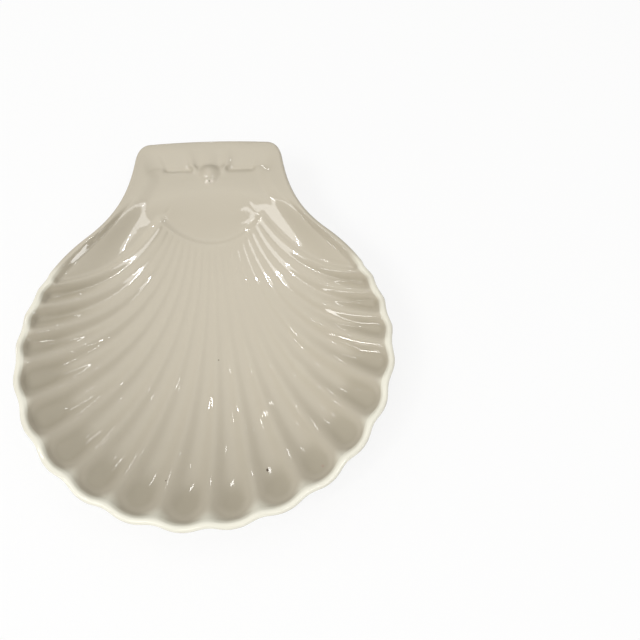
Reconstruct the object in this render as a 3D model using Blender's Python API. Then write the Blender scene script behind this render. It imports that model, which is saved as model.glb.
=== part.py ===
# Shell trinket dish: one casting of glazed ceramic.
# Z is up, the hinge tab points to +Y and the scalloped front to -Y.
# The plan is worked out about the middle of the bowl and moved so that the origin is
# the middle of the whole dish, on the table.

import math

import bmesh
import bpy

# Bowl, in metres
BOWL_WIDTH = 0.130
BOWL_LENGTH = 0.120
RIM_HEIGHT = 0.0245
BOWL_DEPTH = 0.0190
BOWL_CURVE = 2.3
BOWL_BACK = 0.0645
WALL = 0.0032

# Flutes. There is a ridge on the middle line, and these are the angles at which it and
# the next nine ridges on one side meet the rim, from the front round to the shoulder.
RIDGE_ANGLES = (0, 15, 30, 44.5, 59, 73.5, 88, 98.5, 108.5, 117.5)
FULL_FLUTE_ANGLE = 15.0
FLUTE_DEPTH_RIM = 0.0029
FLUTE_DEPTH_HINGE = 0.0001
FLUTE_GROWTH = 2.8
FLUTE_FADE_START = 0.85
FLUTE_FADE_AT_RIM = 0.55
FLUTE_START_RUN = 0.05
FLUTE_BOW = 0.016
FLUTE_BOW_WAVE = 0.43
RIDGE_SHARPNESS = 1.3
SIDE_SHARPNESS = 0.75
RIDGE_SHARE = 0.45
RIB_WIDTH = 0.0032
RIB_POINTS = 12
SCALLOP = 0.0012
RIM_WAVE = 0.0005

# The flutes at the sides are deeper for their width, with broader ridges: how much
# deeper, from which ridge and over how many ridges
SIDE_GAIN = 0.75
SIDE_FROM = 3
SIDE_RUN = 5

# Smooth hollow at the hinge. The flutes start from a small step on its round lower edge,
# and the step fades out towards the tab.
HOLLOW_MIDDLE_Y = 0.0620
EDGE_RADIUS = 0.0288
EDGE_BOTTOM_Y = 0.0439
EDGE_HALF_ANGLE = 42.5
HOLLOW_STEP = 0.0009
HOLLOW_SINK_RUN = 0.014
SINK_BACK_Y = 0.0500
SINK_BACK_RUN = 0.0110
HOLLOW_SHARE_SIDE = 0.33
HOLLOW_SHARE_TAB = 0.50
STEP_WIDTH = 0.0034

# Shoulder: shares of the rim's length from the last ridge to the middle of the tab, over
# which the smooth hollow reaches the tab and the lip widens into the tab's frame
SHOULDER_RUN = 0.34
FRAME_START = 0.15
FRAME_RUN = 0.35

# The shoulder and the tab's sides rise softly to the lip: by how much, from which share
# of a ray, and up to which share of the rim
SIDE_RISE = 0.0013
SIDE_RISE_FROM = 0.52
SIDE_RISE_END = 0.62
SIDE_RISE_END_RUN = 0.14

# Hinge tab
TAB_TOP_Y = 0.0846
TAB_CROWN = 0.0008
TAB_TOP_HALF = 0.0225
TAB_SIDE_X = 0.0289
TAB_SIDE_Y = 0.0760
TAB_SIDE_LEAN = 7.0
NECK_ANGLE = 136.5
NECK_PULL = 0.0138
FRAME_SIDE = 0.0050
FRAME_TOP = 0.0108
RECESS = 0.0015
RECESS_BLEND = 0.0020

# Pearl and the two small leaves beside it
PEARL_RADIUS = 0.0037
PEARL_FLATTEN = 0.56
PEARL_Y = 0.0705
PEARL_DROP = 0.0002
LEAF_X = 0.0066
LEAF_Y = 0.0732
LEAF_LENGTH = 0.0040
LEAF_WIDTH = 0.0017
LEAF_HEIGHT = 0.0009
LEAF_TURN = 52.0

# Rounded lip
LIP_WIDTH = 0.0038
LIP_SLOPE = 0.0016
FRAME_SLOPE_SHARE = 0.70
LIP_SHELF_DROP = 0.0002
LIP_CROWN_IN = 0.0012
LIP_EDGE_IN = 0.0004
LIP_EDGE_DROP = 0.0004
LIP_SIDE_DROP = 0.0015

# Underside
UNDER_BLEND = 0.0030
UNDER_BLEND_START_Y = 0.030
UNDER_BLEND_RUN = 0.020
UNDER_FLUTE_REACH = 0.75

# Foot ring
FOOT_LENGTH = 0.050
FOOT_WIDTH = 0.054
FOOT_RING = 0.0035
FOOT_HEIGHT = 0.0022
FOOT_TAPER = 0.0010
FOOT_ROOF_EDGE = 0.0085

# Glaze
GLAZE_COLOR = (0.53, 0.48, 0.38, 1.0)
GLAZE_ROUGHNESS = 0.12

# Mesh divisions
PER_FLUTE = 8
SHOULDER_STEPS = (0.10, 0.30, 0.53, 0.77)
NECK_STEPS = 9
CORNER_STEPS = 4
TOP_STEPS = 6
HOLLOW_ROWS = (0.40, 0.70, 1.0)
STEP_ROWS = (1.5, 2.0)
RAY_ROWS = (0.07, 0.16, 0.27, 0.39, 0.52, 0.65, 0.77, 0.88, 1.0)
SKIRT_ROWS = (0.10, 0.20, 0.31, 0.43, 0.58, 0.78, 1.0)
COARSEN = 4
PEARL_SEGMENTS = 30
PEARL_RINGS = 16

HALF_X = BOWL_WIDTH / 2
HALF_Y = BOWL_LENGTH / 2


def mix(a, b, share):
    return a + (b - a) * share


def ease(value):
    value = min(1.0, max(0.0, value))
    return value * value * (3 - 2 * value)


def rim_ellipse(angle):
    # point on the bowl's plain oval, by the angle from the front
    return HALF_X * math.sin(angle), -HALF_Y * math.cos(angle)


def side_share(number):
    # 0 for the flutes of the front, 1 for those of the side
    return ease((number - SIDE_FROM) / SIDE_RUN)


def ridge_profile(number):
    # 1 on a ridge, 0 in the middle of a hollow; the ridges are broader at the sides
    sharpness = mix(RIDGE_SHARPNESS, SIDE_SHARPNESS, side_share(number))
    return (0.5 + 0.5 * math.cos(2 * math.pi * number)) ** sharpness


def cubic(a, b, c, d, t):
    s = 1 - t
    weights = (s**3, 3 * s * s * t, 3 * s * t * t, t**3)
    return tuple(
        sum(w * p[i] for w, p in zip(weights, (a, b, c, d))) for i in range(2)
    )


def quadratic(a, b, c, t):
    s = 1 - t
    return tuple(s * s * a[i] + 2 * s * t * b[i] + t * t * c[i] for i in range(2))


class Column:
    """One ray of the mesh: where it meets the rim, and what the rim is like there."""

    def __init__(self, point, number, size, along):
        self.point = point
        self.number = number
        self.size = size
        self.along = along
        self.ridge = ridge_profile(number) if size else 0.0


def fluted_columns():
    columns = []
    for flute in range(len(RIDGE_ANGLES) - 1):
        start, end = RIDGE_ANGLES[flute], RIDGE_ANGLES[flute + 1]
        after = RIDGE_ANGLES[min(flute + 2, len(RIDGE_ANGLES) - 1)]
        size = (end - start) / FULL_FLUTE_ANGLE
        next_size = (after - end) / FULL_FLUTE_ANGLE or size
        for step in range(PER_FLUTE):
            share = step / PER_FLUTE
            angle = math.radians(mix(start, end, share))
            local = mix(size, (size + next_size) / 2, ease(2 * share - 1))
            columns.append(Column(rim_ellipse(angle), flute + share, local, 0.0))
    return columns


def smooth_points():
    # rim of the shoulder, neck and tab, from the last ridge to the middle of the tab
    last = math.radians(RIDGE_ANGLES[-1])
    neck = math.radians(NECK_ANGLE)
    points = [rim_ellipse(last)]
    points += [rim_ellipse(mix(last, neck, share)) for share in SHOULDER_STEPS]
    start = rim_ellipse(neck)
    run = (HALF_X * math.cos(neck), HALF_Y * math.sin(neck))
    scale = NECK_PULL / math.hypot(*run)
    lean = math.radians(TAB_SIDE_LEAN)
    side = (TAB_SIDE_X, TAB_SIDE_Y)
    out = (start[0] + run[0] * scale, start[1] + run[1] * scale)
    back = (
        side[0] + NECK_PULL * math.sin(lean),
        side[1] - NECK_PULL * math.cos(lean),
    )
    points += [cubic(start, out, back, side, i / NECK_STEPS) for i in range(NECK_STEPS)]
    corner_end = (TAB_TOP_HALF, TAB_TOP_Y - TAB_CROWN)
    rise = corner_end[1] - side[1]
    corner = (side[0] - rise * math.tan(lean), corner_end[1])
    points += [
        quadratic(side, corner, corner_end, i / CORNER_STEPS)
        for i in range(CORNER_STEPS)
    ]
    for step in range(TOP_STEPS + 1):
        x = TAB_TOP_HALF * (1 - step / TOP_STEPS)
        points.append((x, TAB_TOP_Y - TAB_CROWN * (x / TAB_TOP_HALF) ** 2))
    return points


def smooth_columns():
    points = smooth_points()
    lengths = [0.0]
    for a, b in zip(points, points[1:]):
        lengths.append(lengths[-1] + math.dist(a, b))
    flutes = len(RIDGE_ANGLES) - 1
    size = (RIDGE_ANGLES[-1] - RIDGE_ANGLES[-2]) / FULL_FLUTE_ANGLE
    columns = []
    for point, length in zip(points, lengths):
        along = length / lengths[-1]
        column = Column(point, flutes, size, along)
        column.ridge = 1.0 - ease(length / RIB_WIDTH)
        column.size = size * column.ridge
        columns.append(column)
    return columns


def half_columns():
    columns = fluted_columns() + smooth_columns()
    for i, column in enumerate(columns):
        before = columns[i - 1].point if i else mirror(columns[1].point)
        after = (
            columns[i + 1].point
            if i + 1 < len(columns)
            else mirror(columns[i - 1].point)
        )
        dx, dy = after[0] - before[0], after[1] - before[1]
        length = math.hypot(dx, dy)
        column.inward = (-dy / length, dx / length)
    for column in columns:
        push = SCALLOP * column.size * (RIDGE_SHARE - column.ridge)
        column.edge = inset(column.point, column.inward, -push)
    return columns


def mirror(point):
    return (-point[0],) + tuple(point[1:])


def inset(point, inward, distance):
    return point[0] + inward[0] * distance, point[1] + inward[1] * distance


def frame_share(column):
    # 0 beside the flutes, 1 round the tab
    return ease((column.along - FRAME_START) / FRAME_RUN)


def shoulder_share(column):
    # 0 at the last ridge, 1 where the smooth hollow has reached the tab
    return ease(column.along / SHOULDER_RUN)


def frame_point(column):
    # inner edge of the band inside the rim: a thin lip on the bowl, a frame on the tab
    x, y = inset(column.edge, column.inward, LIP_WIDTH)
    framed_x = column.edge[0] * (1 - FRAME_SIDE / TAB_SIDE_X)
    reach = TAB_TOP_Y - HOLLOW_MIDDLE_Y
    framed_y = mix(column.edge[1], HOLLOW_MIDDLE_Y, FRAME_TOP / reach)
    share = frame_share(column)
    return mix(x, framed_x, share), mix(y, framed_y, share)


def bowl_depth(x, y):
    half_y = BOWL_BACK if y > 0 else HALF_Y
    return BOWL_DEPTH * (1 - math.hypot(x / HALF_X, y / half_y) ** BOWL_CURVE)


def soft_max(a, b, blend):
    return 0.5 * (a + b + math.sqrt((a - b) ** 2 + blend**2))


def leaf(x, y):
    dx, dy = abs(x) - LEAF_X, y - LEAF_Y
    turn = math.radians(LEAF_TURN)
    along = dx * math.cos(turn) + dy * math.sin(turn)
    across = -dx * math.sin(turn) + dy * math.cos(turn)
    spread = (along / LEAF_LENGTH) ** 2 + (across / LEAF_WIDTH) ** 2
    return LEAF_HEIGHT * math.exp(-2 * spread)


def smooth_height(x, y):
    # the plain surface behind the flutes: back of the bowl, running into the tab's recess
    return -soft_max(bowl_depth(x, y), RECESS, RECESS_BLEND) + leaf(x, y)


def edge_point(number):
    # point on the round lower edge of the hollow, by the number of ridges from the middle
    angle = math.radians(EDGE_HALF_ANGLE) * number / (len(RIDGE_ANGLES) - 1)
    rise = EDGE_RADIUS * (1 - math.cos(angle))
    return EDGE_RADIUS * math.sin(angle), EDGE_BOTTOM_Y + rise


def part_way(aim, part):
    return aim[0] * part, mix(HOLLOW_MIDDLE_Y, aim[1], part)


def ray_ends(columns):
    # where each ray leaves the hollow, and the point inside the rim that it aims at
    aims = [frame_point(column) for column in columns]
    corner = next(i for i, column in enumerate(columns) if column.along) - 1
    cusp = edge_point(columns[corner].number)
    near = part_way(aims[corner], HOLLOW_SHARE_SIDE)
    ends = []
    for column, aim in zip(columns, aims):
        start = edge_point(column.number)
        if column.along:
            round_tab = shoulder_share(column)
            part = mix(HOLLOW_SHARE_SIDE, HOLLOW_SHARE_TAB, round_tab)
            x, y = part_way(aim, part)
            start = (
                x + (1 - round_tab) * (cusp[0] - near[0]),
                y + (1 - round_tab) * (cusp[1] - near[1]),
            )
        ends.append((start, aim))
    return ends


def ray_point(column, start, aim, share):
    turn = FLUTE_BOW_WAVE * column.number / (len(RIDGE_ANGLES) - 1)
    bow = FLUTE_BOW * math.sin(2 * math.pi * turn) * (1 - shoulder_share(column))
    dx, dy = aim[0] - start[0], aim[1] - start[1]
    length = math.hypot(dx, dy)
    middle = (
        (start[0] + aim[0]) / 2 + bow * dy / length,
        (start[1] + aim[1]) / 2 - bow * dx / length,
    )
    return quadratic(start, middle, aim, share)


def sink(x, y, share):
    # how far the smooth surface lies below the step where the flutes start
    inside = EDGE_RADIUS - math.hypot(x, y - EDGE_BOTTOM_Y - EDGE_RADIUS)
    fade = ease(1 - inside / HOLLOW_SINK_RUN) if inside > 0 else 1.0
    back = 1 - ease((y - SINK_BACK_Y) / SINK_BACK_RUN)
    return HOLLOW_STEP * fade * back * (1 - share**3)


def flute_height(number, size, ridge, share):
    # a ridge keeps its height up to the lip; a hollow gets shallower there
    grown = share**FLUTE_GROWTH
    at_rim = FLUTE_DEPTH_RIM * (1 + SIDE_GAIN * side_share(number))
    depth = mix(FLUTE_DEPTH_HINGE, at_rim, grown) * size
    near_rim = ease((share - FLUTE_FADE_START) / (1 - FLUTE_FADE_START))
    shallow = 1 - FLUTE_FADE_AT_RIM * near_rim
    start = ease(share / FLUTE_START_RUN)
    return depth * start * mix(shallow, 1, ridge) * (ridge - RIDGE_SHARE)


def last_ridge(columns, edges):
    # points along the crest of the last ridge
    crest = next(i for i, column in enumerate(columns) if column.along) - 1
    start, aim = edges[crest]
    steps = range(RIB_POINTS + 1)
    return [ray_point(columns[crest], start, aim, i / RIB_POINTS) for i in steps]


def distance_to(line, x, y):
    nearest = 1.0
    for (ax, ay), (bx, by) in zip(line, line[1:]):
        dx, dy = bx - ax, by - ay
        t = ((x - ax) * dx + (y - ay) * dy) / (dx * dx + dy * dy)
        t = min(1.0, max(0.0, t))
        nearest = min(nearest, math.hypot(x - ax - dx * t, y - ay - dy * t))
    return nearest


def side_rise(column, share):
    end = 1 - ease((column.along - SIDE_RISE_END) / SIDE_RISE_END_RUN)
    return SIDE_RISE * end * ease((share - SIDE_RISE_FROM) / (1 - SIDE_RISE_FROM))


def upper_height(column, rib_line, x, y, share):
    # height on a ray outside the smooth hollow
    bowl = -bowl_depth(x, y)
    if not column.along:
        return bowl + flute_height(column.number, column.size, column.ridge, share)
    behind = ease(distance_to(rib_line, x, y) / RIB_WIDTH)
    size = (RIDGE_ANGLES[-1] - RIDGE_ANGLES[-2]) / FULL_FLUTE_ANGLE * (1 - behind)
    rib = flute_height(column.number, size, 1 - behind, share)
    smooth = smooth_height(x, y) - sink(x, y, share) + side_rise(column, share)
    return mix(bowl, smooth, behind) + rib


def hollow_point(column, rib_line, start, row):
    # rows up to 1 lie in the smooth hollow, and those from 1 to 2 climb the step
    reach = math.hypot(start[0], start[1] - HOLLOW_MIDDLE_Y)
    step_from = 1 - STEP_WIDTH / reach
    up = max(0.0, row - 1)
    x, y = part_way(start, mix(step_from * min(row, 1.0), 1.0, up))
    low = smooth_height(x, y) - sink(x, y, 0.0)
    top = upper_height(column, rib_line, *start, 0.0)
    return x, y, mix(low, top, ease(up))


def upper_rings(columns):
    rings = []
    centre_height = smooth_height(0, HOLLOW_MIDDLE_Y)
    edges = ray_ends(columns)
    rib_line = last_ridge(columns, edges)
    for row in (*HOLLOW_ROWS, *STEP_ROWS):
        rings.append(
            [hollow_point(c, rib_line, start, row) for c, (start, _) in zip(columns, edges)]
        )
    for share in RAY_ROWS:
        ring = []
        for column, (start, aim) in zip(columns, edges):
            x, y = ray_point(column, start, aim, share)
            ring.append((x, y, upper_height(column, rib_line, x, y, share)))
        rings.append(ring)
    return centre_height, rings


def rim_level(column):
    return -RIM_WAVE * column.size * (1 - column.ridge)


def lip_rings(columns):
    rings = [[], [], [], []]
    for column in columns:
        level = rim_level(column)
        inner = frame_point(column)
        crown = inset(column.edge, column.inward, LIP_CROWN_IN)
        steep = LIP_SLOPE / math.dist(inner, crown)
        share = mix(steep, FRAME_SLOPE_SHARE, frame_share(column))
        shelf = mix(inner[0], crown[0], share), mix(inner[1], crown[1], share)
        rings[0].append((*shelf, level - LIP_SHELF_DROP))
        rings[1].append((*crown, level))
        round_off = inset(column.edge, column.inward, LIP_EDGE_IN)
        rings[2].append((*round_off, level - LIP_EDGE_DROP))
        rings[3].append((*column.edge, level - LIP_SIDE_DROP))
    return rings


def under_height(x, y):
    # the underside follows the bowl at the wall's thickness, and is flat under the tab
    radius = math.hypot(x / HALF_X, y / HALF_Y)
    slope = BOWL_DEPTH * BOWL_CURVE * min(radius, 1.0) ** (BOWL_CURVE - 1) / HALF_Y
    blend = UNDER_BLEND * ease((y - UNDER_BLEND_START_Y) / UNDER_BLEND_RUN)
    depth = soft_max(bowl_depth(x, y), 0.0, blend)
    return -depth - WALL * math.sqrt(1 + slope * slope)


def foot_point(column, grow):
    # point of the foot ring that lies under a rim point, by its bearing from the middle
    bearing = math.atan2(column.point[0] / HALF_X, -column.point[1] / HALF_Y)
    return (
        (FOOT_WIDTH / 2 + grow) * math.sin(bearing),
        -(FOOT_LENGTH / 2 + grow) * math.cos(bearing),
    )


def lower_rings(columns):
    rings = []
    for share in SKIRT_ROWS:
        ring = []
        for column in columns:
            top = inset(column.edge, column.inward, LIP_EDGE_IN)
            foot = foot_point(column, 0.0)
            x, y = mix(top[0], foot[0], share), mix(top[1], foot[1], share)
            gain = 1 + SIDE_GAIN * side_share(column.number)
            flute = column.size * gain * (column.ridge - RIDGE_SHARE)
            fade = (1 - FLUTE_FADE_AT_RIM) * (1 - ease(share / UNDER_FLUTE_REACH))
            ring.append((x, y, under_height(x, y) + FLUTE_DEPTH_RIM * flute * fade))
        rings.append(ring)
    ground = -RIM_HEIGHT
    roof = ground + FOOT_HEIGHT
    for grow, height in (
        (-FOOT_TAPER, ground),
        (-FOOT_RING, ground),
        (-FOOT_RING - FOOT_TAPER, roof),
    ):
        rings.append([(*foot_point(column, grow), height) for column in columns])
    return roof, rings


def full_ring(half):
    # the half ring runs from the front to the tab on +X; the other half mirrors it
    return half + [mirror(point) for point in half[-2:0:-1]]


def add_ring(mesh, ring, centre_y):
    return [mesh.verts.new((x, y - centre_y, z + RIM_HEIGHT)) for x, y, z in ring]


def bridge(mesh, inner, outer):
    # join two rings that have the same number of points, facing up
    count = len(inner)
    for i in range(count):
        j = (i + 1) % count
        mesh.faces.new((inner[i], outer[i], outer[j], inner[j]))


def bridge_coarse(mesh, inner, outer, upward):
    # join a ring to one that has COARSEN times its points
    count = len(inner)
    for i in range(count):
        j = (i + 1) % count
        fan = [outer[(i * COARSEN + n) % len(outer)] for n in range(COARSEN + 1)]
        half = COARSEN // 2
        faces = [(inner[i], a, b) for a, b in zip(fan[:half], fan[1 : half + 1])]
        faces.append((inner[i], fan[half], inner[j]))
        faces += [(inner[j], a, b) for a, b in zip(fan[half:], fan[half + 1 :])]
        for face in faces:
            mesh.faces.new(face if upward else face[::-1])


def cap(mesh, point, ring, upward):
    middle = mesh.verts.new(point)
    count = len(ring)
    for i in range(count):
        face = (middle, ring[i], ring[(i + 1) % count])
        mesh.faces.new(face if upward else face[::-1])


def dish_mesh():
    columns = half_columns()
    ys = [column.edge[1] for column in columns]
    centre_y = (min(ys) + max(ys)) / 2
    mesh = bmesh.new()

    centre_height, upper = upper_rings(columns)
    upper = [full_ring(ring) for ring in upper + lip_rings(columns)]
    top = [add_ring(mesh, upper[0][::COARSEN], centre_y)]
    top += [add_ring(mesh, ring, centre_y) for ring in upper[1:]]
    middle = (0, HOLLOW_MIDDLE_Y - centre_y, centre_height + RIM_HEIGHT)
    cap(mesh, middle, top[0], True)
    bridge_coarse(mesh, top[0], top[1], True)
    for inner, outer in zip(top[1:], top[2:]):
        bridge(mesh, inner, outer)

    roof, lower = lower_rings(columns)
    lower = [add_ring(mesh, full_ring(ring), centre_y) for ring in lower]
    for inner, outer in zip([top[-1]] + lower, lower):
        bridge(mesh, inner, outer)
    inner_half = [foot_point(column, -FOOT_ROOF_EDGE) for column in columns]
    inner = full_ring([(x, y, roof) for x, y in inner_half])[::COARSEN]
    inner = add_ring(mesh, inner, centre_y)
    bridge_coarse(mesh, inner, lower[-1], False)
    cap(mesh, (0, -centre_y, roof + RIM_HEIGHT), inner, False)
    return mesh, centre_y


def pearl_mesh(centre_y):
    level = smooth_height(0, PEARL_Y) - PEARL_DROP + RIM_HEIGHT
    mesh = bmesh.new()
    bmesh.ops.create_uvsphere(
        mesh, u_segments=PEARL_SEGMENTS, v_segments=PEARL_RINGS, radius=PEARL_RADIUS
    )
    bmesh.ops.scale(mesh, verts=mesh.verts, vec=(1, 1, PEARL_FLATTEN))
    bmesh.ops.translate(mesh, verts=mesh.verts, vec=(0, PEARL_Y - centre_y, level))
    return mesh


def to_object(mesh, name):
    data = bpy.data.meshes.new(name)
    mesh.to_mesh(data)
    mesh.free()
    made = bpy.data.objects.new(name, data)
    bpy.context.scene.collection.objects.link(made)
    return made


def glaze():
    material = bpy.data.materials.new("cream_glaze")
    material.use_nodes = True
    shader = material.node_tree.nodes["Principled BSDF"]
    shader.inputs["Base Color"].default_value = GLAZE_COLOR
    shader.inputs["Roughness"].default_value = GLAZE_ROUGHNESS
    return material


def build():
    for old in list(bpy.data.objects):
        bpy.data.objects.remove(old, do_unlink=True)
    mesh, centre_y = dish_mesh()
    dish = to_object(mesh, "shell_dish")
    pearl = to_object(pearl_mesh(centre_y), "pearl")
    join = dish.modifiers.new("pearl", "BOOLEAN")
    join.operation = "UNION"
    join.solver = "MANIFOLD"
    join.object = pearl
    bpy.context.view_layer.update()
    graph = bpy.context.evaluated_depsgraph_get()
    joined = bpy.data.meshes.new_from_object(dish.evaluated_get(graph))
    dish.modifiers.clear()
    dish.data = joined
    bpy.data.objects.remove(pearl, do_unlink=True)
    joined.materials.clear()
    joined.materials.append(glaze())
    for face in joined.polygons:
        face.use_smooth = True
        face.material_index = 0


build()
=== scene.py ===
# Shell trinket dish, dressed: one fine surface in cream glaze stands for the plain solid.
# Lengths are in metres and angles in degrees. Z is up and the hinge tab points to +Y.

import math

import bmesh
import bpy
from mathutils import Matrix, Vector


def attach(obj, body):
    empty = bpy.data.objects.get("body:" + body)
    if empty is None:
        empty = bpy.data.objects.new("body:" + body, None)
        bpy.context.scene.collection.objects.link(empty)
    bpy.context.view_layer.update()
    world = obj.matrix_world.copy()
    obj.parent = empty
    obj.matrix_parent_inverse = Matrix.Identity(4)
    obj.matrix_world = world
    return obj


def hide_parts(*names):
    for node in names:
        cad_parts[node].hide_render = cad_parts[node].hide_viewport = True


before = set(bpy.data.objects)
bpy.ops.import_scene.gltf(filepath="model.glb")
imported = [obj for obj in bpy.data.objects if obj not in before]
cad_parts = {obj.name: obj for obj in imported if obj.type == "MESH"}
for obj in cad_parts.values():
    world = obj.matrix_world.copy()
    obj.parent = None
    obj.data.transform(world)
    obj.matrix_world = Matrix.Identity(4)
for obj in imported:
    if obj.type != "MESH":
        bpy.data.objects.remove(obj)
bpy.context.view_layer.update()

# Bowl
BOWL_WIDTH = 0.130
BOWL_LENGTH = 0.120
RIM_HEIGHT = 0.0245
BOWL_DEPTH = 0.0190
BOWL_CURVE = 2.3
BOWL_BACK = 0.0645
WALL = 0.0032
HALF_X = BOWL_WIDTH / 2
HALF_Y = BOWL_LENGTH / 2

# Flutes: the angles at which the ridges of one side meet the rim, from the front round
RIDGE_ANGLES = (0, 15, 30, 44.5, 59, 73.5, 88, 98.5, 108.5, 117.5)
FULL_FLUTE_ANGLE = 15.0

# Depth of a flute: it starts at the hollow, grows with the power FLUTE_GROWTH of the way
# to the rim, and its hollow gets shallower over the last part of that way
FLUTE_DEPTH_RIM = 0.0029
FLUTE_DEPTH_HINGE = 0.0001
FLUTE_GROWTH = 2.8
FLUTE_FADE_START = 0.85
FLUTE_FADE_AT_RIM = 0.55
FLUTE_START_RUN = 0.05

# The flutes of the side: how much deeper, from which ridge on and over how many ridges
SIDE_GAIN = 0.75
SIDE_FROM = 3
SIDE_RUN = 5

# Bow of the rays in plan, form of a ridge across, and what the flutes do to the rim
FLUTE_BOW = 0.016
FLUTE_BOW_WAVE = 0.43
RIDGE_SHARPNESS = 1.3
SIDE_SHARPNESS = 0.75
RIDGE_SHARE = 0.45
RIB_WIDTH = 0.0032
SCALLOP = 0.0012
RIM_WAVE = 0.0005

# Smooth hollow at the hinge, with a small step on its round lower edge. The surface sinks
# towards the step over HOLLOW_SINK_RUN and no more behind SINK_BACK_Y + SINK_BACK_RUN
HOLLOW_MIDDLE_Y = 0.0620
EDGE_RADIUS = 0.0288
EDGE_BOTTOM_Y = 0.0439
EDGE_HALF_ANGLE = 42.5
HOLLOW_STEP = 0.0009
HOLLOW_SINK_RUN = 0.014
SINK_BACK_Y = 0.0500
SINK_BACK_RUN = 0.0110
HOLLOW_SHARE_SIDE = 0.33
HOLLOW_SHARE_TAB = 0.50
STEP_WIDTH = 0.0034

# Shoulder: shares of the rim's length from the last ridge to the middle of the tab, and
# the soft rise to the lip, which starts at the share SIDE_RISE_FROM of a ray
SHOULDER_RUN = 0.34
FRAME_START = 0.15
FRAME_RUN = 0.35
SIDE_RISE = 0.0013
SIDE_RISE_FROM = 0.52
SIDE_RISE_END = 0.62
SIDE_RISE_END_RUN = 0.14

# Hinge tab
TAB_TOP_Y = 0.0846
TAB_CROWN = 0.0008
TAB_TOP_HALF = 0.0225
TAB_SIDE_X = 0.0289
TAB_SIDE_Y = 0.0760
TAB_SIDE_LEAN = 7.0
NECK_ANGLE = 136.5
NECK_PULL = 0.0138
FRAME_SIDE = 0.0050
FRAME_TOP = 0.0108
RECESS = 0.0015
RECESS_BLEND = 0.0020

# Pearl and the two small leaves beside it. LEAF_FALL says how fast a leaf falls off.
PEARL_RADIUS = 0.0046
PEARL_HEIGHT = 0.0018
PEARL_Y = 0.0705
PEARL_ROUND = 1.5
LEAF_X = 0.0066
LEAF_Y = 0.0732
LEAF_LENGTH = 0.0040
LEAF_WIDTH = 0.0017
LEAF_HEIGHT = 0.0009
LEAF_TURN = 52.0
LEAF_FALL = 2.0

# Furrow in the recess along the tab's frame, on each side of the pearl
CREASE_FROM_FRAME = 0.0014
CREASE_NEAR_X = 0.0055
CREASE_FAR_X = 0.0185
CREASE_FADE = 0.0020
CREASE_WIDTH = 0.0013
CREASE_DEPTH = 0.0008

# Rounded lip: places are given as the distance in from the edge and the drop below the rim
LIP_WIDTH = 0.0038
LIP_SLOPE = 0.0016
FRAME_SLOPE_SHARE = 0.70
LIP_SHELF_DROP = 0.0002
LIP_CROWN_IN = 0.0012
LIP_EDGE_IN = 0.0004
LIP_EDGE_DROP = 0.0004
LIP_SIDE_DROP = 0.0015
LIP_TUCK = 0.00012

# Pale lip, partly thin glaze and partly painted light that is strongest at the front, where
# the light falls: outside the bowl it begins THIN_AND_LIT_DROP below the rim and is full
# THIN_AND_LIT_RUN higher up; inside it fades over THIN_AND_LIT_REACH from the edge.
# THIN_AND_LIT_AT_SIDE and THIN_AND_LIT_ON_TAB are its shares at the side and on the tab,
# reached on the tab over THIN_AND_LIT_TAB_RUN of the rim's length. On the crests the thin
# glaze is THIN_ON_RIDGE, in full from CREST_FULL_AT of a ray on.
THIN_AND_LIT_DROP = 0.0030
THIN_AND_LIT_RUN = 0.0024
THIN_AND_LIT_REACH = 0.0076
THIN_AND_LIT_REACH_AT_SIDE = 0.0046
THIN_AND_LIT_AT_SIDE = 0.64
THIN_AND_LIT_ON_TAB = 0.10
THIN_ON_RIDGE = 0.15
THIN_AND_LIT_TAB_RUN = 0.12
CREST_FULL_AT = 0.5

# Thick glaze and painted shade in the flutes near the rim: how far below the rim, over what
# rise, how much, and how much at the side
POOL_AND_SHADE_DROP = 0.0120
POOL_AND_SHADE_RUN = 0.0070
POOL_AND_SHADE = 0.90
POOL_AND_SHADE_AT_SIDE = 1.35

# Underside: it follows the bowl, blends into the flat tab, and the flutes fade on it over
# UNDER_FLUTE_REACH of the way from the lip to the foot. Its rows start at SKIRT_FROM of
# that way.
UNDER_BLEND = 0.0030
UNDER_BLEND_START_Y = 0.030
UNDER_BLEND_RUN = 0.020
UNDER_FLUTE_REACH = 0.75
SKIRT_FROM = 0.10

# Foot ring: how far each of its rings lies inside its outer edge, and its height above
# the table
FOOT_LENGTH = 0.050
FOOT_WIDTH = 0.054
FOOT_PROFILE = (
    (0.0006, 0.0009), (0.0009, 0.0003), (0.0013, 0.0), (0.0033, 0.0),
    (0.0037, 0.0003), (0.0041, 0.0012), (0.0046, 0.0020), (0.0060, 0.0022),
    (0.0100, 0.0022), (0.0160, 0.0022),
)

# Mesh divisions
PER_FLUTE = 20
SHOULDER_STEPS = 14
SHOULDER_STEPS_POWER = 1.3
NECK_STEPS = 22
CORNER_STEPS = 10
TOP_STEPS = 54
HOLLOW_ROWS = 22
STEP_ROWS = 9
RAY_ROWS = 56
LIP_ROWS = 4
SKIRT_ROWS = 18
LAST_RIDGE_POINTS = 24

# Camera, as the photograph was taken
CAMERA_AT = (0.02895, -0.06197, 0.19195)
CAMERA_TILT = 18.77
CAMERA_LEAN = -2.28
CAMERA_ROLL = -3.75
CAMERA_LENS_MM = 28.125
CAMERA_SENSOR_MM = 36


def mix(a, b, share):
    return a + (b - a) * share


def ease(value):
    value = min(1.0, max(0.0, value))
    return value * value * (3 - 2 * value)


def rim_ellipse(angle):
    return HALF_X * math.sin(angle), -HALF_Y * math.cos(angle)


def side_share(number):
    # 0 for the flutes of the front, 1 for those of the side
    return ease((number - SIDE_FROM) / SIDE_RUN)


def ridge_profile(number):
    # 1 on a ridge, 0 in the middle of a hollow; the ridges are broader at the sides
    sharpness = mix(RIDGE_SHARPNESS, SIDE_SHARPNESS, side_share(number))
    return (0.5 + 0.5 * math.cos(2 * math.pi * number)) ** sharpness


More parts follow.
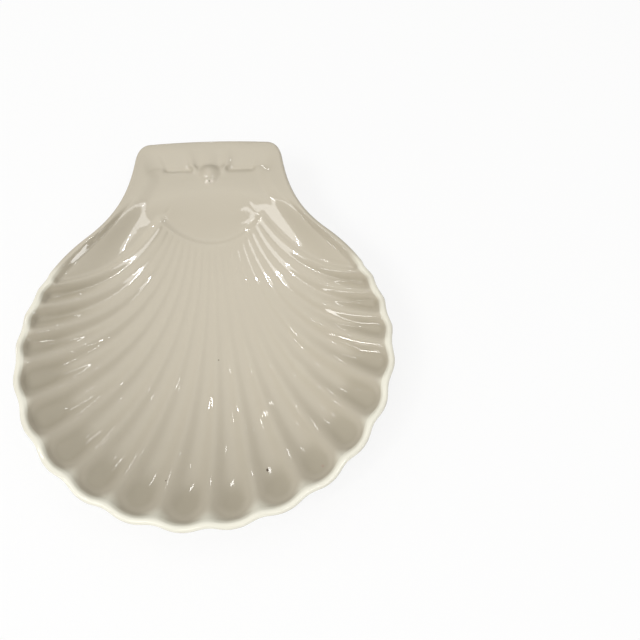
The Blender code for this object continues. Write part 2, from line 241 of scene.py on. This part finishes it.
def cubic(a, b, c, d, t):
    s = 1 - t
    weights = (s**3, 3 * s * s * t, 3 * s * t * t, t**3)
    return tuple(
        sum(w * p[i] for w, p in zip(weights, (a, b, c, d))) for i in range(2)
    )


def quadratic(a, b, c, t):
    s = 1 - t
    return tuple(s * s * a[i] + 2 * s * t * b[i] + t * t * c[i] for i in range(2))


class Column:
    """One ray of the mesh: where it meets the rim, and what the rim is like there."""

    def __init__(self, point, number, size, along):
        self.point = point
        self.number = number
        self.size = size
        self.along = along
        self.ridge = ridge_profile(number) if size else 0.0


def fluted_columns():
    # the rays of the flutes of one side, from the middle of the front to the last ridge
    columns = []
    for flute in range(len(RIDGE_ANGLES) - 1):
        start, end = RIDGE_ANGLES[flute], RIDGE_ANGLES[flute + 1]
        after = RIDGE_ANGLES[min(flute + 2, len(RIDGE_ANGLES) - 1)]
        size = (end - start) / FULL_FLUTE_ANGLE
        next_size = (after - end) / FULL_FLUTE_ANGLE or size
        for step in range(PER_FLUTE):
            share = step / PER_FLUTE
            angle = math.radians(mix(start, end, share))
            local = mix(size, (size + next_size) / 2, ease(2 * share - 1))
            columns.append(Column(rim_ellipse(angle), flute + share, local, 0.0))
    return columns


def smooth_points():
    # rim of the shoulder, neck and tab, from the last ridge to the middle of the tab
    last = math.radians(RIDGE_ANGLES[-1])
    neck = math.radians(NECK_ANGLE)
    points = [
        rim_ellipse(mix(last, neck, (i / SHOULDER_STEPS) ** SHOULDER_STEPS_POWER))
        for i in range(SHOULDER_STEPS)
    ]
    start = rim_ellipse(neck)
    run = (HALF_X * math.cos(neck), HALF_Y * math.sin(neck))
    scale = NECK_PULL / math.hypot(*run)
    lean = math.radians(TAB_SIDE_LEAN)
    side = (TAB_SIDE_X, TAB_SIDE_Y)
    out = (start[0] + run[0] * scale, start[1] + run[1] * scale)
    back = (
        side[0] + NECK_PULL * math.sin(lean),
        side[1] - NECK_PULL * math.cos(lean),
    )
    points += [cubic(start, out, back, side, i / NECK_STEPS) for i in range(NECK_STEPS)]
    corner_end = (TAB_TOP_HALF, TAB_TOP_Y - TAB_CROWN)
    rise = corner_end[1] - side[1]
    corner = (side[0] - rise * math.tan(lean), corner_end[1])
    points += [
        quadratic(side, corner, corner_end, i / CORNER_STEPS)
        for i in range(CORNER_STEPS)
    ]
    for step in range(TOP_STEPS + 1):
        x = TAB_TOP_HALF * (1 - step / TOP_STEPS)
        points.append((x, TAB_TOP_Y - TAB_CROWN * (x / TAB_TOP_HALF) ** 2))
    return points


def smooth_columns():
    # the rays behind the last ridge, which still carry its far slope
    points = smooth_points()
    lengths = [0.0]
    for a, b in zip(points, points[1:]):
        lengths.append(lengths[-1] + math.dist(a, b))
    flutes = len(RIDGE_ANGLES) - 1
    size = (RIDGE_ANGLES[-1] - RIDGE_ANGLES[-2]) / FULL_FLUTE_ANGLE
    columns = []
    for point, length in zip(points, lengths):
        column = Column(point, flutes, size, length / lengths[-1])
        column.ridge = 1.0 - ease(length / RIB_WIDTH)
        column.size = size * column.ridge
        columns.append(column)
    return columns


def mirror(point):
    return (-point[0],) + tuple(point[1:])


def inset(point, inward, distance):
    return point[0] + inward[0] * distance, point[1] + inward[1] * distance


def half_columns():
    # all rays of one side, with the direction in from the rim and the scalloped edge
    columns = fluted_columns() + smooth_columns()
    for i, column in enumerate(columns):
        before = columns[i - 1].point if i else mirror(columns[1].point)
        last = i + 1 == len(columns)
        after = mirror(columns[i - 1].point) if last else columns[i + 1].point
        dx, dy = after[0] - before[0], after[1] - before[1]
        length = math.hypot(dx, dy)
        column.inward = (-dy / length, dx / length)
    for column in columns:
        push = SCALLOP * column.size * (RIDGE_SHARE - column.ridge)
        column.edge = inset(column.point, column.inward, -push)
    return columns


def frame_share(column):
    # 0 beside the flutes, 1 round the tab
    return ease((column.along - FRAME_START) / FRAME_RUN)


def shoulder_share(column):
    # 0 at the last ridge, 1 where the smooth hollow has reached the tab
    return ease(column.along / SHOULDER_RUN)


def frame_point(column):
    # inner edge of the band inside the rim: a thin lip on the bowl, a frame on the tab
    x, y = inset(column.edge, column.inward, LIP_WIDTH)
    framed_x = column.edge[0] * (1 - FRAME_SIDE / TAB_SIDE_X)
    reach = TAB_TOP_Y - HOLLOW_MIDDLE_Y
    framed_y = mix(column.edge[1], HOLLOW_MIDDLE_Y, FRAME_TOP / reach)
    share = frame_share(column)
    return mix(x, framed_x, share), mix(y, framed_y, share)


def bowl_depth(x, y):
    # depth of the plain bowl below the rim, without flutes
    half_y = BOWL_BACK if y > 0 else HALF_Y
    return BOWL_DEPTH * (1 - math.hypot(x / HALF_X, y / half_y) ** BOWL_CURVE)


def soft_max(a, b, blend):
    return 0.5 * (a + b + math.sqrt((a - b) ** 2 + blend**2))


def leaf(x, y):
    # a small leaf-shaped fold on each side of the pearl
    dx, dy = abs(x) - LEAF_X, y - LEAF_Y
    turn = math.radians(LEAF_TURN)
    along = dx * math.cos(turn) + dy * math.sin(turn)
    across = -dx * math.sin(turn) + dy * math.cos(turn)
    spread = (along / LEAF_LENGTH) ** 2 + (across / LEAF_WIDTH) ** 2
    return LEAF_HEIGHT * math.exp(-LEAF_FALL * spread)


def pearl(x, y):
    # a low dome that runs softly into the recess
    reach = math.hypot(x, y - PEARL_Y) / PEARL_RADIUS
    return PEARL_HEIGHT * max(0.0, 1 - reach * reach) ** PEARL_ROUND


def crease(x, y):
    # a narrow furrow along the tab's frame, from beside the pearl towards the corner
    across = (y - TAB_TOP_Y + FRAME_TOP + CREASE_FROM_FRAME) / CREASE_WIDTH
    from_pearl = ease((abs(x) - CREASE_NEAR_X) / CREASE_FADE)
    to_corner = ease((CREASE_FAR_X - abs(x)) / CREASE_FADE)
    return CREASE_DEPTH * from_pearl * to_corner * math.exp(-across * across)


def smooth_height(x, y):
    # the plain surface behind the flutes: back of the bowl, running into the tab's recess
    raised = leaf(x, y) + pearl(x, y) - crease(x, y)
    return raised - soft_max(bowl_depth(x, y), RECESS, RECESS_BLEND)


def edge_point(number):
    # point on the round lower edge of the hollow, by the number of ridges from the middle
    angle = math.radians(EDGE_HALF_ANGLE) * number / (len(RIDGE_ANGLES) - 1)
    rise = EDGE_RADIUS * (1 - math.cos(angle))
    return EDGE_RADIUS * math.sin(angle), EDGE_BOTTOM_Y + rise


def part_way(aim, part):
    # point at that part of the way from the hollow's middle
    return aim[0] * part, mix(HOLLOW_MIDDLE_Y, aim[1], part)


def ray_ends(columns):
    # where each ray leaves the hollow, and the point inside the rim that it aims at
    aims = [frame_point(column) for column in columns]
    corner = next(i for i, column in enumerate(columns) if column.along) - 1
    cusp = edge_point(columns[corner].number)
    near = part_way(aims[corner], HOLLOW_SHARE_SIDE)
    ends = []
    for column, aim in zip(columns, aims):
        start = edge_point(column.number)
        if column.along:
            round_tab = shoulder_share(column)
            part = mix(HOLLOW_SHARE_SIDE, HOLLOW_SHARE_TAB, round_tab)
            x, y = part_way(aim, part)
            start = (
                x + (1 - round_tab) * (cusp[0] - near[0]),
                y + (1 - round_tab) * (cusp[1] - near[1]),
            )
        ends.append((start, aim))
    return ends


def ray_point(column, start, aim, share):
    # a ray seen from above: bowed among the flutes, straight where it ends on the tab
    turn = FLUTE_BOW_WAVE * column.number / (len(RIDGE_ANGLES) - 1)
    bow = FLUTE_BOW * math.sin(2 * math.pi * turn) * (1 - shoulder_share(column))
    dx, dy = aim[0] - start[0], aim[1] - start[1]
    length = math.hypot(dx, dy)
    middle = (
        (start[0] + aim[0]) / 2 + bow * dy / length,
        (start[1] + aim[1]) / 2 - bow * dx / length,
    )
    return quadratic(start, middle, aim, share)


# points along the crest of the last ridge, filled in by trace_last_ridge
last_ridge = []


def trace_last_ridge(columns, ends):
    crest = next(i for i, column in enumerate(columns) if column.along) - 1
    start, aim = ends[crest]
    steps = range(LAST_RIDGE_POINTS + 1)
    last_ridge.extend(
        ray_point(columns[crest], start, aim, i / LAST_RIDGE_POINTS) for i in steps
    )


def sink(x, y, share):
    # how far the smooth surface lies below the step where the flutes start
    inside = EDGE_RADIUS - math.hypot(x, y - EDGE_BOTTOM_Y - EDGE_RADIUS)
    fade = ease(1 - inside / HOLLOW_SINK_RUN) if inside > 0 else 1.0
    back = 1 - ease((y - SINK_BACK_Y) / SINK_BACK_RUN)
    return HOLLOW_STEP * fade * back * (1 - share**3)


def flute_height(number, size, ridge, share):
    # a ridge keeps its height up to the lip; a hollow gets shallower there
    grown = share**FLUTE_GROWTH
    at_rim = FLUTE_DEPTH_RIM * (1 + SIDE_GAIN * side_share(number))
    depth = mix(FLUTE_DEPTH_HINGE, at_rim, grown) * size
    near_rim = ease((share - FLUTE_FADE_START) / (1 - FLUTE_FADE_START))
    shallow = 1 - FLUTE_FADE_AT_RIM * near_rim
    start = ease(share / FLUTE_START_RUN)
    return depth * start * mix(shallow, 1, ridge) * (ridge - RIDGE_SHARE)


def from_last_ridge(x, y):
    # distance to the crest of the last ridge
    nearest = 1.0
    for (ax, ay), (bx, by) in zip(last_ridge, last_ridge[1:]):
        dx, dy = bx - ax, by - ay
        t = ((x - ax) * dx + (y - ay) * dy) / (dx * dx + dy * dy)
        t = min(1.0, max(0.0, t))
        nearest = min(nearest, math.hypot(x - ax - dx * t, y - ay - dy * t))
    return nearest


def side_rise(column, share):
    # the shoulder and the tab's sides rise softly to the lip
    end = 1 - ease((column.along - SIDE_RISE_END) / SIDE_RISE_END_RUN)
    return SIDE_RISE * end * ease((share - SIDE_RISE_FROM) / (1 - SIDE_RISE_FROM))


def upper_height(column, x, y, share):
    # height on a ray outside the smooth hollow
    bowl = -bowl_depth(x, y)
    if not column.along:
        return bowl + flute_height(column.number, column.size, column.ridge, share)
    behind = ease(from_last_ridge(x, y) / RIB_WIDTH)
    size = (RIDGE_ANGLES[-1] - RIDGE_ANGLES[-2]) / FULL_FLUTE_ANGLE * (1 - behind)
    rib = flute_height(column.number, size, 1 - behind, share)
    smooth = smooth_height(x, y) - sink(x, y, share) + side_rise(column, share)
    return mix(bowl, smooth, behind) + rib


def hollow_line(column, start):
    # points of one ray inside the smooth hollow, up to the top of the step
    reach = math.hypot(start[0], start[1] - HOLLOW_MIDDLE_Y)
    step_from = 1 - STEP_WIDTH / reach
    top = upper_height(column, *start, 0.0)
    line = []
    for row in range(1, HOLLOW_ROWS + 1):
        x, y = part_way(start, step_from * row / HOLLOW_ROWS)
        line.append((x, y, smooth_height(x, y) - sink(x, y, 0.0)))
    for row in range(1, STEP_ROWS + 1):
        share = row / STEP_ROWS
        x, y = part_way(start, mix(step_from, 1.0, share))
        low = smooth_height(x, y) - sink(x, y, 0.0)
        line.append((x, y, mix(low, top, ease(share))))
    return line


def ray_line(column, start, aim):
    # points of one ray from the step to the lip
    line = []
    for row in range(1, RAY_ROWS + 1):
        share = row / RAY_ROWS
        x, y = ray_point(column, start, aim, share)
        line.append((x, y, upper_height(column, x, y, share)))
    return line


def under_height(x, y):
    # the underside follows the bowl at the wall's thickness, and is flat under the tab
    radius = math.hypot(x / HALF_X, y / HALF_Y)
    slope = BOWL_DEPTH * BOWL_CURVE * min(radius, 1.0) ** (BOWL_CURVE - 1) / HALF_Y
    blend = UNDER_BLEND * ease((y - UNDER_BLEND_START_Y) / UNDER_BLEND_RUN)
    depth = soft_max(bowl_depth(x, y), 0.0, blend)
    return -depth - WALL * math.sqrt(1 + slope * slope)


def foot_point(column, shrink):
    # point of the foot ring that lies under a rim point, by its bearing from the middle
    bearing = math.atan2(column.point[0] / HALF_X, -column.point[1] / HALF_Y)
    return (
        (FOOT_WIDTH / 2 - shrink) * math.sin(bearing),
        -(FOOT_LENGTH / 2 - shrink) * math.cos(bearing),
    )


def skirt_line(column):
    # points of the underside from the lip to the foot, with a faint trace of the flutes
    line = []
    top = inset(column.edge, column.inward, LIP_EDGE_IN)
    foot = foot_point(column, 0.0)
    for row in range(1, SKIRT_ROWS + 1):
        share = mix(SKIRT_FROM, 1.0, (row - 1) / (SKIRT_ROWS - 1))
        x, y = mix(top[0], foot[0], share), mix(top[1], foot[1], share)
        gain = 1 + SIDE_GAIN * side_share(column.number)
        flute = column.size * gain * (column.ridge - RIDGE_SHARE)
        fade = (1 - FLUTE_FADE_AT_RIM) * (1 - ease(share / UNDER_FLUTE_REACH))
        line.append((x, y, under_height(x, y) + FLUTE_DEPTH_RIM * flute * fade))
    return line


def smooth_run(points, before, after, steps):
    # smooth curve through the points of the lip
    chain = [Vector(p) for p in (before, *points, after)]
    made = []
    for a, b, c, d in zip(chain, chain[1:], chain[2:], chain[3:]):
        into, out = (c - a) / 2, (d - b) / 2
        length = (c - b).length
        into = into.normalized() * min(into.length, length)
        out = out.normalized() * min(out.length, length)
        for i in range(1, steps + 1):
            t = i / steps
            made.append(
                (2 * t**3 - 3 * t**2 + 1) * b
                + (t**3 - 2 * t**2 + t) * into
                + (-2 * t**3 + 3 * t**2) * c
                + (t**3 - t**2) * out
            )
    return [tuple(p) for p in made]


def lip_line(column, before, aim, after):
    # over the lip, from the end of a ray to the start of the underside
    level = -RIM_WAVE * column.size * (1 - column.ridge)
    crown = inset(column.edge, column.inward, LIP_CROWN_IN)
    steep = LIP_SLOPE / math.dist(aim[:2], crown)
    share = mix(steep, FRAME_SLOPE_SHARE, frame_share(column))
    shelf = mix(aim[0], crown[0], share), mix(aim[1], crown[1], share)
    round_off = inset(column.edge, column.inward, LIP_EDGE_IN)
    side = inset(column.edge, column.inward, LIP_TUCK)
    points = [
        aim,
        (*shelf, level - LIP_SHELF_DROP),
        (*crown, level),
        (*round_off, level - LIP_EDGE_DROP),
        (*side, level - LIP_SIDE_DROP),
        after[0],
    ]
    return smooth_run(points, before, after[1], LIP_ROWS)


def foot_line(column):
    return [
        (*foot_point(column, shrink), height - RIM_HEIGHT)
        for shrink, height in FOOT_PROFILE
    ]


def glaze_look(column, row, point):
    # how thin the glaze is, with painted light and shade: it runs off the lip and the
    # ridges and lies in the flutes; the lip is also painted lighter at the front, where the
    # light falls, and the hollows near the rim darker with painted shade
    ray_row = row - HOLLOW_ROWS - STEP_ROWS
    if ray_row < 0:
        return 0.0
    side = ease(column.number / (len(RIDGE_ANGLES) - 1))
    if ray_row < RAY_ROWS + LIP_ROWS // 2:
        reach = mix(THIN_AND_LIT_REACH, THIN_AND_LIT_REACH_AT_SIDE, side)
        rise = ease(1 - math.dist(point[:2], column.edge) / reach)
    else:
        rise = ease((point[2] + THIN_AND_LIT_DROP) / THIN_AND_LIT_RUN)
    out = ease(ray_row / (RAY_ROWS * CREST_FULL_AT))
    crest = THIN_ON_RIDGE * out * column.size * (column.ridge - RIDGE_SHARE)
    # darker in the hollows near the rim: partly thick glaze, partly painted shade, more at
    # the side
    pool_and_shade = mix(POOL_AND_SHADE, POOL_AND_SHADE_AT_SIDE, side) * (1 - column.ridge) * column.size * (1 - rise)
    pool_and_shade *= ease((point[2] + POOL_AND_SHADE_DROP) / POOL_AND_SHADE_RUN)
    # painted light: the lip is palest at the front, where the light falls, less at the side
    # and least on the tab
    at_side = mix(1.0, THIN_AND_LIT_AT_SIDE, side)
    on_tab = mix(1.0, THIN_AND_LIT_ON_TAB, ease(column.along / THIN_AND_LIT_TAB_RUN))
    return rise * at_side * on_tab + crest - pool_and_shade


def dish_lines():
    # one line of points for each ray, from the hollow's middle to the middle below
    columns = half_columns()
    ends = ray_ends(columns)
    trace_last_ridge(columns, ends)
    lines, looks = [], []
    for column, (start, aim) in zip(columns, ends):
        line = hollow_line(column, start)
        line += ray_line(column, start, aim)
        skirt = skirt_line(column)
        line += lip_line(column, line[-2], line[-1], skirt)
        line += skirt[1:] + foot_line(column)
        lines.append(line)
        looks.append([glaze_look(column, i, point) for i, point in enumerate(line)])
    ys = [column.edge[1] for column in columns]
    return lines, looks, (min(ys) + max(ys)) / 2


def round_trip(half):
    # one side and its mirror image, without its first and last line twice
    return half + [[mirror(p) for p in line] for line in half[-2:0:-1]]


def dish_object():
    half, half_looks, centre_y = dish_lines()
    lines = round_trip(half)
    looks = half_looks + half_looks[-2:0:-1]
    mesh = bmesh.new()
    # per point: thin glaze with painted light on the lip, thick glaze with painted shade in
    # the flutes
    glaze_and_painted_light = mesh.verts.layers.float.new("glaze_and_painted_light")

    def add(point, look):
        vert = mesh.verts.new((point[0], point[1] - centre_y, point[2] + RIM_HEIGHT))
        vert[glaze_and_painted_light] = look
        return vert

    grid = [[add(p, s) for p, s in zip(line, look)] for line, look in zip(lines, looks)]
    top = add((0, HOLLOW_MIDDLE_Y, smooth_height(0, HOLLOW_MIDDLE_Y)), 0.0)
    bottom = add((0, 0, half[0][-1][2]), 0.0)
    for i, line in enumerate(grid):
        after = grid[(i + 1) % len(grid)]
        mesh.faces.new((top, line[0], after[0]))
        mesh.faces.new((bottom, after[-1], line[-1]))
        for j in range(len(line) - 1):
            mesh.faces.new((line[j], line[j + 1], after[j + 1], after[j]))
    data = bpy.data.meshes.new("dish_glazed")
    mesh.to_mesh(data)
    mesh.free()
    for face in data.polygons:
        face.use_smooth = True
    made = bpy.data.objects.new("dish_glazed", data)
    bpy.context.scene.collection.objects.link(made)
    return made


# Materials: colours
GLAZE_BODY = (0.528, 0.478, 0.380, 1.0)
# the pale colour is thin glaze on lip and ridges with painted light on the lip; the deep
# one is thick glaze with painted shade in the flutes
GLAZE_THIN_AND_LIT = (0.830, 0.805, 0.685, 1.0)
GLAZE_DEEP_AND_SHADED = (0.425, 0.380, 0.290, 1.0)
FOOT_CLAY = (0.740, 0.690, 0.600, 1.0)
SPECK_BROWN = (0.070, 0.045, 0.030, 1.0)
SPECK_PINK = (0.420, 0.250, 0.210, 1.0)
FLOOR_PALE = (0.86, 0.86, 0.85, 1)
WHITE = (1, 1, 1, 1)

# Scale, detail and roughness of each noise: clouds and mottling of the glaze, its ripples
# and the grain of the bare clay
CLOUD = (45.0, 3.0, 0.55)
MOTTLE = (420.0, 2.0, 0.6)
RIPPLE = (160.0, 1.0, 0.4)
GRAIN = (1800.0, 3.0, 0.7)
NOISE_LEVELS = (0.3, 0.7)

# How the noises shift the thinness of the glaze and its painted light and shade, and the
# levels over which its colour turns
CLOUD_SHARE = 0.5
MOTTLE_SHARE = 0.12
SHIFT_MIDDLE = 0.31
THIN_AND_LIT_LEVELS = (0.05, 0.95)
DEEP_AND_SHADED_LEVELS = (-0.05, -0.75)
DEEP_AND_SHADED_RANGE = (0.0, 0.8)

# Gloss and small bumps of the glaze, and the heights over which the foot is bare clay
GLOSS_RANGE = (0.020, 0.060)
BARE_ROUGHNESS = 0.6
BARE_HEIGHTS = (0.00035, 0.00010)
GLAZE_IOR = 1.52
BUMP_STRENGTH = 0.35
BUMP_DISTANCE = 0.0002
BUMP_MOTTLE_SHARE = 0.12

# Floor: how rough it is, how white it looks to the camera, and half its width
FLOOR_ROUGHNESS = 0.9
FLOOR_WHITE_SHARE = 0.8
FLOOR_HALF = 1.5


class Nodes:
    """Small helper that adds and links the nodes of one material or world."""

    def __init__(self, tree):
        self.tree = tree

    def add(self, kind, **values):
        node = self.tree.nodes.new(kind)
        for name, value in values.items():
            setattr(node, name, value)
        return node

    def link(self, source, target):
        self.tree.links.new(source, target)

    def put(self, socket, value):
        if isinstance(value, bpy.types.NodeSocket):
            self.link(value, socket)
        else:
            socket.default_value = value

    def math(self, operation, a, b=0.0, c=0.0):
        node = self.add("ShaderNodeMath", operation=operation)
        for socket, value in zip(node.inputs, (a, b, c)):
            self.put(socket, value)
        return node.outputs[0]

    def ramp(self, value, low, high, to_low=0.0, to_high=1.0):
        node = self.add("ShaderNodeMapRange", interpolation_type="SMOOTHSTEP")
        for name, number in (
            ("Value", value),
            ("From Min", low),
            ("From Max", high),
            ("To Min", to_low),
            ("To Max", to_high),
        ):
            self.put(node.inputs[name], number)
        return node.outputs["Result"]

    def blend(self, share, a, b):
        node = self.add("ShaderNodeMix", data_type="RGBA")
        self.put(node.inputs["Factor"], share)
        self.put(node.inputs[6], a)
        self.put(node.inputs[7], b)
        return node.outputs[2]

    def noise(self, place, scale, detail, rough):
        node = self.add("ShaderNodeTexNoise")
        self.put(node.inputs["Vector"], place)
        node.inputs["Scale"].default_value = scale
        node.inputs["Detail"].default_value = detail
        node.inputs["Roughness"].default_value = rough
        return node.outputs["Fac"]


# Specks in the glaze: place on the plan, radius, strength and colour. They lie only above
# SPECKS_ABOVE, and SPECK_EDGE gives where they begin and are full, in radii.
SPECKS_ABOVE = 0.0035
SPECK_EDGE = (1.6, 1.1)
SPECKS = (
    ((0.0187, -0.0549), 0.00060, 0.85, SPECK_BROWN),
    ((-0.0147, -0.0562), 0.00032, 0.60, SPECK_BROWN),
    ((0.0009, -0.0133), 0.00032, 0.60, SPECK_BROWN),
    ((0.0000, 0.0542), 0.00036, 0.40, SPECK_BROWN),
    ((0.0372, -0.0550), 0.00060, 0.30, SPECK_PINK),
)


def glaze_material():
    material = bpy.data.materials.new("cream_glaze")
    material.use_nodes = True
    n = Nodes(material.node_tree)
    shader = material.node_tree.nodes["Principled BSDF"]
    place = n.add("ShaderNodeTexCoord").outputs["Object"]
    split = n.add("ShaderNodeSeparateXYZ")
    n.link(place, split.inputs[0])
    # paleness from thin glaze and painted light on the lip, darkness from thick glaze and
    # painted shade in the flutes
    glaze_and_painted_light = n.add("ShaderNodeAttribute", attribute_name="glaze_and_painted_light").outputs["Fac"]

    cloud = n.noise(place, *CLOUD)
    mottle = n.noise(place, *MOTTLE)
    clouded = n.math("MULTIPLY", cloud, CLOUD_SHARE)
    uneven = n.math("ADD", clouded, n.math("MULTIPLY", mottle, MOTTLE_SHARE))
    level = n.math("ADD", glaze_and_painted_light, n.math("SUBTRACT", uneven, SHIFT_MIDDLE))
    colour = n.blend(n.ramp(level, *THIN_AND_LIT_LEVELS), GLAZE_BODY, GLAZE_THIN_AND_LIT)
    colour = n.blend(n.ramp(level, *DEEP_AND_SHADED_LEVELS, *DEEP_AND_SHADED_RANGE), colour, GLAZE_DEEP_AND_SHADED)

    flat = n.add("ShaderNodeCombineXYZ")
    n.link(split.outputs["X"], flat.inputs[0])
    n.link(split.outputs["Y"], flat.inputs[1])
    upper = n.math("GREATER_THAN", split.outputs["Z"], SPECKS_ABOVE)
    begin, full = SPECK_EDGE
    for (x, y), radius, strength, tint in SPECKS:
        away = n.add("ShaderNodeVectorMath", operation="DISTANCE")
        n.link(flat.outputs[0], away.inputs[0])
        away.inputs[1].default_value = (x, y, 0)
        ragged = n.math("MULTIPLY_ADD", mottle, radius, away.outputs["Value"])
        mark = n.ramp(ragged, radius * begin, radius * full, 0.0, strength)
        colour = n.blend(n.math("MULTIPLY", mark, upper), colour, tint)

    bare = n.ramp(split.outputs["Z"], *BARE_HEIGHTS)
    grain = n.noise(place, *GRAIN)
    clay = n.blend(n.ramp(grain, *NOISE_LEVELS), FOOT_CLAY, GLAZE_BODY)
    colour = n.blend(bare, colour, clay)
    n.link(colour, shader.inputs["Base Color"])

    gloss = n.ramp(cloud, *NOISE_LEVELS, *GLOSS_RANGE)
    rough = n.math("MULTIPLY_ADD", bare, BARE_ROUGHNESS, gloss)
    n.link(rough, shader.inputs["Roughness"])
    shader.inputs["IOR"].default_value = GLAZE_IOR

    bump = n.add("ShaderNodeBump")
    bump.inputs["Strength"].default_value = BUMP_STRENGTH
    bump.inputs["Distance"].default_value = BUMP_DISTANCE
    ripple = n.noise(place, *RIPPLE)
    height = n.math("MULTIPLY_ADD", mottle, BUMP_MOTTLE_SHARE, ripple)
    n.link(height, bump.inputs["Height"])
    n.link(bump.outputs[0], shader.inputs["Normal"])
    return material


def floor_material():
    # white where the camera or a reflection sees it, and pale to the light
    material = bpy.data.materials.new("pale_floor")
    material.use_nodes = True
    n = Nodes(material.node_tree)
    shader = material.node_tree.nodes["Principled BSDF"]
    shader.inputs["Base Color"].default_value = FLOOR_PALE
    shader.inputs["Roughness"].default_value = FLOOR_ROUGHNESS
    shader.inputs["Specular IOR Level"].default_value = 0.0
    path = n.add("ShaderNodeLightPath")
    seen = n.math("MAXIMUM", path.outputs["Is Camera Ray"], path.outputs["Is Glossy Ray"])
    white = n.add("ShaderNodeEmission")
    white.inputs["Color"].default_value = WHITE
    blend = n.add("ShaderNodeMixShader")
    n.link(n.math("MULTIPLY", seen, FLOOR_WHITE_SHARE), blend.inputs[0])
    n.link(shader.outputs[0], blend.inputs[1])
    n.link(white.outputs[0], blend.inputs[2])
    n.link(blend.outputs[0], material.node_tree.nodes["Material Output"].inputs[0])
    return material


def add_floor():
    data = bpy.data.meshes.new("floor")
    half = FLOOR_HALF
    corners = [(-half, -half, 0), (half, -half, 0), (half, half, 0), (-half, half, 0)]
    data.from_pydata(corners, [], [(0, 1, 2, 3)])
    floor = bpy.data.objects.new("floor", data)
    bpy.context.scene.collection.objects.link(floor)
    data.materials.append(floor_material())


# Sky: pale, brighter overhead and a little brighter on one side, and white to the camera
SKY_BASE = 0.05
SKY_TOP = 1.19
SKY_POWER = 2.0
SKY_SIDE = 0.15
SKY_BRIGHT_SIDE = (-0.80, -0.60, 0.0)
SKY_LEAST = 0.05

# Lamps: all stand at one distance from a point in the dish and face it. Each row gives the
# name, direction seen from the dish, width, height, brightness where white is 1, and the
# turn in degrees about the lamp's own middle. The windows show as pale panels on the
# shoulders, the strips, low lamps and spots as small glints.
LIGHT_DISTANCE = 1.2
LIGHT_CENTRE = (0.0, 0.0, 0.02)
WINDOWS = (
    ("window_left", (-0.46, -0.38, 0.80), 0.64, 0.33, 4.2),
    ("window_right", (0.30, -0.41, 0.86), 0.44, 0.28, 4.0),
    ("strip_left", (-0.55, -0.18, 0.81), 0.014, 0.30, 90.0, 25),
    ("strip_right", (0.35, -0.32, 0.88), 0.014, 0.22, 90.0, -25),
    ("strip_back", (-0.20, 0.82, 0.53), 0.20, 0.030, 14.0),
    ("low_left", (-0.82, -0.50, 0.27), 0.16, 0.10, 9.0),
    ("low_right", (0.80, -0.58, 0.15), 0.12, 0.12, 8.0),
    ("low_shoulder", (-0.875, -0.36, 0.31), 0.05, 0.05, 30.0),
)
SPOTS = (
    ("spot_left", (-0.70, -0.02, 0.71), 0.040, 0.040, 50.0),
    ("spot_side", (-0.63, 0.41, 0.66), 0.040, 0.040, 50.0),
    ("spot_step_right", (-0.58, 0.22, 0.78), 0.018, 0.018, 45.0),
    ("spot_step_left", (0.42, 0.22, 0.88), 0.030, 0.030, 40.0),
    ("spot_low", (-0.81, 0.29, 0.51), 0.030, 0.030, 50.0),
    ("spot_far_back", (0.23, 0.67, 0.71), 0.030, 0.030, 30.0),
    ("spot_right", (0.67, -0.40, 0.63), 0.040, 0.040, 50.0),
)


def add_world():
    world = bpy.data.worlds.new("studio")
    bpy.context.scene.world = world
    world.use_nodes = True
    n = Nodes(world.node_tree)
    back = world.node_tree.nodes["Background"]
    place = n.add("ShaderNodeTexCoord").outputs["Generated"]
    side = n.add("ShaderNodeVectorMath", operation="DOT_PRODUCT")
    n.link(place, side.inputs[0])
    side.inputs[1].default_value = SKY_BRIGHT_SIDE
    split = n.add("ShaderNodeSeparateXYZ")
    n.link(place, split.inputs[0])
    height = n.math("POWER", n.math("MAXIMUM", split.outputs["Z"], 0.0), SKY_POWER)
    up = n.math("MULTIPLY_ADD", height, SKY_TOP, SKY_BASE)
    sky = n.math("MULTIPLY_ADD", side.outputs["Value"], SKY_SIDE, up)
    sky = n.math("MAXIMUM", sky, SKY_LEAST)
    camera = n.add("ShaderNodeLightPath").outputs["Is Camera Ray"]
    strength = n.add("ShaderNodeMix", data_type="FLOAT")
    n.link(camera, strength.inputs[0])
    n.link(sky, strength.inputs[2])
    strength.inputs[3].default_value = 1.0
    n.link(strength.outputs[0], back.inputs["Strength"])
    back.inputs["Color"].default_value = WHITE


def add_lamp(shape, name, direction, width, height, brightness, turn=0):
    data = bpy.data.lights.new(name, "AREA")
    data.shape = shape
    data.size = width
    data.size_y = height
    area = width * height * (math.pi / 4 if shape == "ELLIPSE" else 1.0)
    data.energy = brightness * math.pi * area
    lamp = bpy.data.objects.new(name, data)
    bpy.context.scene.collection.objects.link(lamp)
    outward = Vector(direction).normalized()
    lamp.location = Vector(LIGHT_CENTRE) + outward * LIGHT_DISTANCE
    facing = (-outward).to_track_quat("-Z", "Y").to_matrix()
    turned = facing @ Matrix.Rotation(math.radians(turn), 3, "Z")
    lamp.rotation_euler = turned.to_euler()


def add_camera():
    data = bpy.data.cameras.new("camera")
    camera = bpy.data.objects.new("camera", data)
    bpy.context.scene.collection.objects.link(camera)
    data.sensor_width = CAMERA_SENSOR_MM
    data.lens = CAMERA_LENS_MM
    turn = (
        Matrix.Rotation(math.radians(CAMERA_ROLL), 4, "Z")
        @ Matrix.Rotation(math.radians(CAMERA_LEAN), 4, "Y")
        @ Matrix.Rotation(math.radians(CAMERA_TILT), 4, "X")
    )
    camera.matrix_world = Matrix.Translation(CAMERA_AT) @ turn
    bpy.context.scene.camera = camera


dish = dish_object()
dish.data.materials.append(glaze_material())
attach(dish, "root")
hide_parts("shell_dish")
add_floor()
add_world()
for window in WINDOWS:
    add_lamp("RECTANGLE", *window)
for spot in SPOTS:
    add_lamp("ELLIPSE", *spot)
add_camera()
bpy.context.scene.view_settings.view_transform = "Standard"
